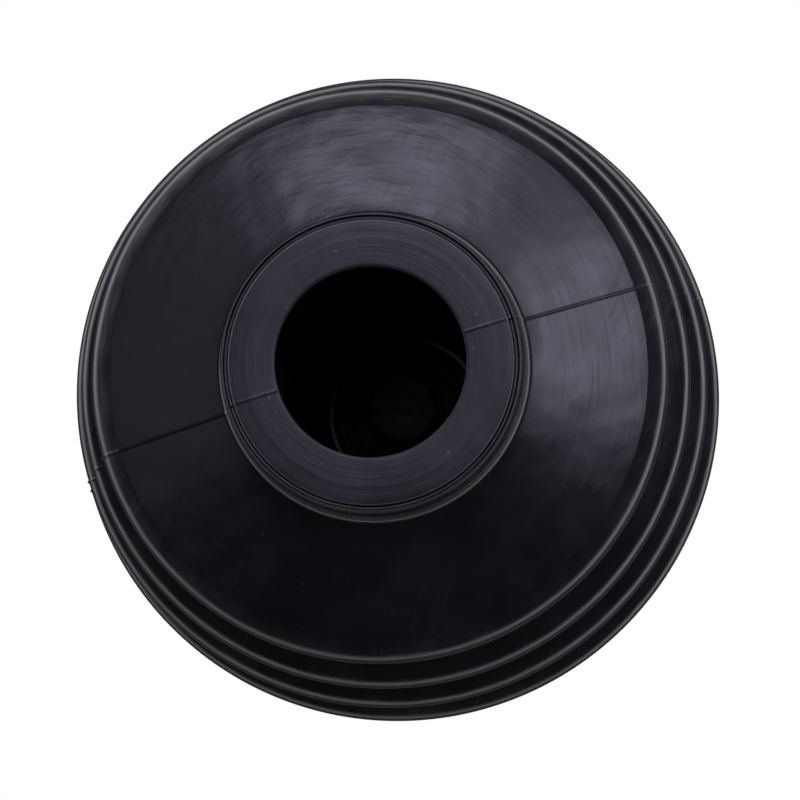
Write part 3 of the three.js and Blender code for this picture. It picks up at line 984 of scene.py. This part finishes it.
SOFTBOXES = (
    # azimuth, half turn, nearest, farthest and soft edge in degrees, strength
    (96, 25, 24, 40, 2.5, 3.3),
    (41, 8, 26, 38, 2.5, 1.6),
    (24, 22, 17, 31.5, 2.5, 3.6),
    (57, 64, 21, 42, 4, 1.15),
    (162, 36, 20, 45, 6, 0.4),
    (120, 75, 3, 13, 3, 1.9),
)
CEILING_LAMPS = (
    # world angle about +Z and height above the horizon in degrees, power in watts
    (-35, 50, 16),
    (75, 52, 10),
    (215, 48, 8),
)
LAMP_SIDE, LAMP_DISTANCE = 0.6, 1.2


def ceiling_lamp(turn, rise, power):
    """A softbox above the tool for the views from above. It has no mirror image, so that it
    draws no second line along the folds in the view from below."""
    turn, rise = math.radians(turn), math.radians(rise)
    toward = Vector((
        math.cos(rise) * math.cos(turn),
        math.cos(rise) * math.sin(turn),
        math.sin(rise),
    ))
    data = bpy.data.lights.new("ceiling_lamp", "AREA")
    data.size = LAMP_SIDE
    data.energy = power
    lamp = bpy.data.objects.new("ceiling_lamp", data)
    lamp.location = toward * LAMP_DISTANCE
    lamp.rotation_euler = toward.to_track_quat("Z", "Y").to_euler()
    lamp.visible_glossy = False
    lamp.visible_camera = False
    bpy.context.scene.collection.objects.link(lamp)


AMBIENT = 0.04
WINDOW_COLOR = (0.78, 0.77, 1.0)
BAND_COLOR = (0.95, 0.92, 1.0)
# Heights are the sines of angles above the horizon.
BAND_STARTS, BAND_FULL_FROM = -0.36, -0.02
BAND_FULL_TO, BAND_ENDS = 0.15, 0.45
LIT_SIDE = 75            # the azimuth where the band is brightest
BAND_DIM, BAND_BRIGHT = 1.15, 3.0
SKY_STARTS, SKY_FULL_FROM = 0.2, 0.5
SKY = 0.05


def horizon_band(graph):
    """A pale band round the horizon, brightest on one side, under a dim sky."""
    height = graph.split(graph.place)[2]
    turn = world_turn(LIT_SIDE)
    lit_side = graph.vector("DOT_PRODUCT", graph.place, (math.cos(turn), math.sin(turn), 0))
    rise = graph.ease(height, BAND_STARTS, BAND_FULL_FROM)
    fall = graph.ease(height, BAND_ENDS, BAND_FULL_TO)
    band = graph.math("MULTIPLY", rise, fall)
    band = graph.math("MULTIPLY", band, graph.ease(lit_side, -1.0, 0.2, BAND_DIM, BAND_BRIGHT))
    return graph.math("ADD", band, graph.ease(height, SKY_STARTS, SKY_FULL_FROM, 0.0, SKY))


def softbox_light(graph):
    light = AMBIENT
    for softbox in SOFTBOXES:
        light = graph.math("ADD", light, sector(graph, *softbox))
    return light


def tinted(graph, light, color):
    return graph.vector("MULTIPLY", graph.join(light, light, light), color)


def studio_world():
    """A dim studio with softboxes in front and a pale band round the horizon.

    The camera sees plain white in its place.
    """
    world = bpy.data.worlds.new("studio")
    bpy.context.scene.world = world
    world.use_nodes = True
    world.node_tree.nodes.clear()
    graph = Graph(world.node_tree, "Generated")
    band = tinted(graph, horizon_band(graph), BAND_COLOR)
    windows = tinted(graph, softbox_light(graph), WINDOW_COLOR)
    lit = graph.nodes.new("ShaderNodeBackground")
    graph.put(lit.inputs["Color"], graph.vector("ADD", band, windows))
    seen = graph.nodes.new("ShaderNodeBackground")
    seen.inputs["Color"].default_value = (1, 1, 1, 1)
    mix = graph.nodes.new("ShaderNodeMixShader")
    graph.put(mix.inputs["Fac"], graph.nodes.new("ShaderNodeLightPath").outputs["Is Camera Ray"])
    graph.put(mix.inputs[1], lit.outputs[0])
    graph.put(mix.inputs[2], seen.outputs[0])
    out = graph.nodes.new("ShaderNodeOutputWorld")
    graph.put(out.inputs["Surface"], mix.outputs[0])


FLOOR_HALF = 12.0
FLOOR_DROP = 0.0003      # keeps it off the mouth's face
FLOOR_PAINT = (0.2, 0.2, 0.198)
FLOOR_GLOW = (0.36, 0.36, 0.355)


def floor_material():
    """Evenly lit paint on the upper side, and clear from below."""
    material = bpy.data.materials.new("floor")
    material.use_nodes = True
    nodes, links = material.node_tree.nodes, material.node_tree.links
    nodes.clear()
    paint = nodes.new("ShaderNodeBsdfDiffuse")
    paint.inputs["Color"].default_value = rgba(FLOOR_PAINT)
    glow = nodes.new("ShaderNodeEmission")
    glow.inputs["Color"].default_value = rgba(FLOOR_GLOW)
    lit = nodes.new("ShaderNodeAddShader")
    clear = nodes.new("ShaderNodeBsdfTransparent")
    mix = nodes.new("ShaderNodeMixShader")
    out = nodes.new("ShaderNodeOutputMaterial")
    links.new(nodes.new("ShaderNodeNewGeometry").outputs["Backfacing"], mix.inputs["Fac"])
    links.new(paint.outputs[0], lit.inputs[0])
    links.new(glow.outputs[0], lit.inputs[1])
    links.new(lit.outputs[0], mix.inputs[1])
    links.new(clear.outputs[0], mix.inputs[2])
    links.new(mix.outputs[0], out.inputs["Surface"])
    return material


def pale_floor():
    """The floor that the tool stands on. It can only be seen from above, so that the camera
    below it looks up at the mouth, and it throws no light or shadow on the tool."""
    corners = [
        (x * FLOOR_HALF, y * FLOOR_HALF, -FLOOR_DROP)
        for x, y in ((-1, -1), (1, -1), (1, 1), (-1, 1))
    ]
    floor = mesh_object("floor", corners, [(0, 1, 2, 3)])
    for ray in ("diffuse", "glossy", "transmission", "shadow"):
        setattr(floor, f"visible_{ray}", False)
    floor.data.materials.append(floor_material())


studio_world()
for lamp in CEILING_LAMPS:
    ceiling_lamp(*lamp)
pale_floor()
bpy.context.scene.view_settings.view_transform = "Standard"
